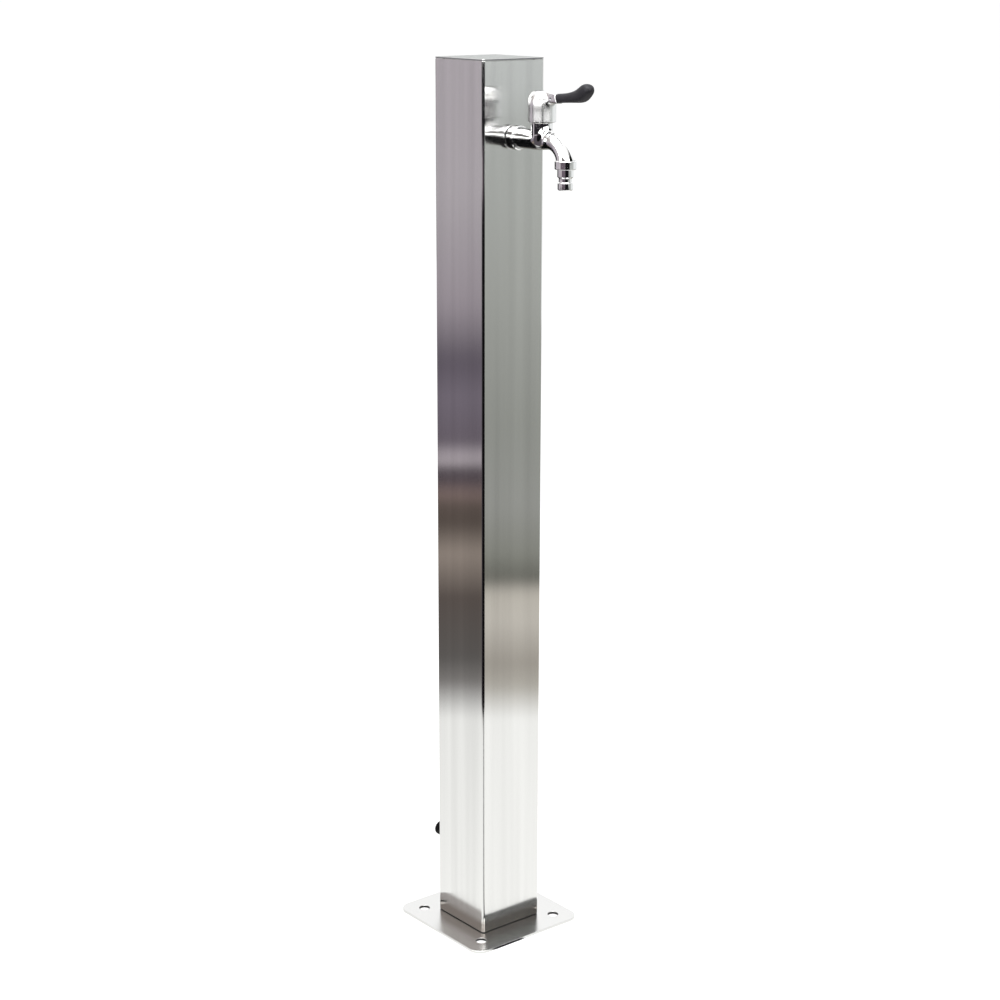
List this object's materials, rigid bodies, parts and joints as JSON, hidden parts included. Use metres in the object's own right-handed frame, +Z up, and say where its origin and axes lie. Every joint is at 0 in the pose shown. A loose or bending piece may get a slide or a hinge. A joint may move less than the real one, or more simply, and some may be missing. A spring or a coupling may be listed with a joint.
{
  "type": "garden standpipe",
  "caption": "Square stainless garden standpipe on a bolted base plate, with a quarter-turn lever tap near the top and a hose inlet low on the back.",
  "frame": {"origin": "centre of the anchor hole pattern on the underside of the base plate, on the axis of the post", "axes": "+Z up along the post; the tap and its outlet point along -Y; the hose inlet points along +Y"},
  "size_m": [0.148, 0.2502, 0.955],
  "materials": {
    "brushed_steel": "satin, brushed along the post",
    "plain_steel": "plain",
    "chrome": "polished",
    "brass": "machined",
    "ceramic": "lapped",
    "fibre": "matt",
    "black_rubber": "matt",
    "black_plastic": "moulded",
    "grip_black": "satin"
  },
  "bodies": {
    "standpipe": {"base_plate": "brushed_steel", "post": "brushed_steel", "top_cap": "brushed_steel", "wall_collar": "chrome", "wall_gasket": "black_rubber", "tap_body": "chrome", "tap_elbow": "brass", "elbow_washer": "fibre", "headwork_body": "brass", "headwork_oring": "black_rubber", "fixed_disc": "ceramic", "seat_seal": "black_rubber", "ring_nut": "chrome", "hose_nose": "chrome", "nose_gasket": "black_rubber", "riser_pipe": "plain_steel", "pipe_nuts": "brass", "pipe_olives": "brass", "inlet_elbow": "brass", "inlet_washer": "fibre", "inlet_gasket": "black_rubber", "inlet_locknut": "brass", "inlet_adapter": "black_plastic", "adapter_gasket": "black_rubber"},
    "lever": {"spindle": "brass", "spindle_orings": "black_rubber", "spindle_clip": "plain_steel", "moving_disc": "ceramic", "lever_head": "chrome", "lever_grub_screw": "plain_steel", "grip_tang": "plain_steel", "grip_screw": "plain_steel", "lever_grip": "grip_black"}
  },
  "joints": [
    {"name": "lever_turn", "type": "hinge", "parent": "standpipe", "child": "lever", "pos_m": [0, -0.084, 0.91], "axis": [0, 0, 1], "range_deg": [0, 90]}
  ]
}
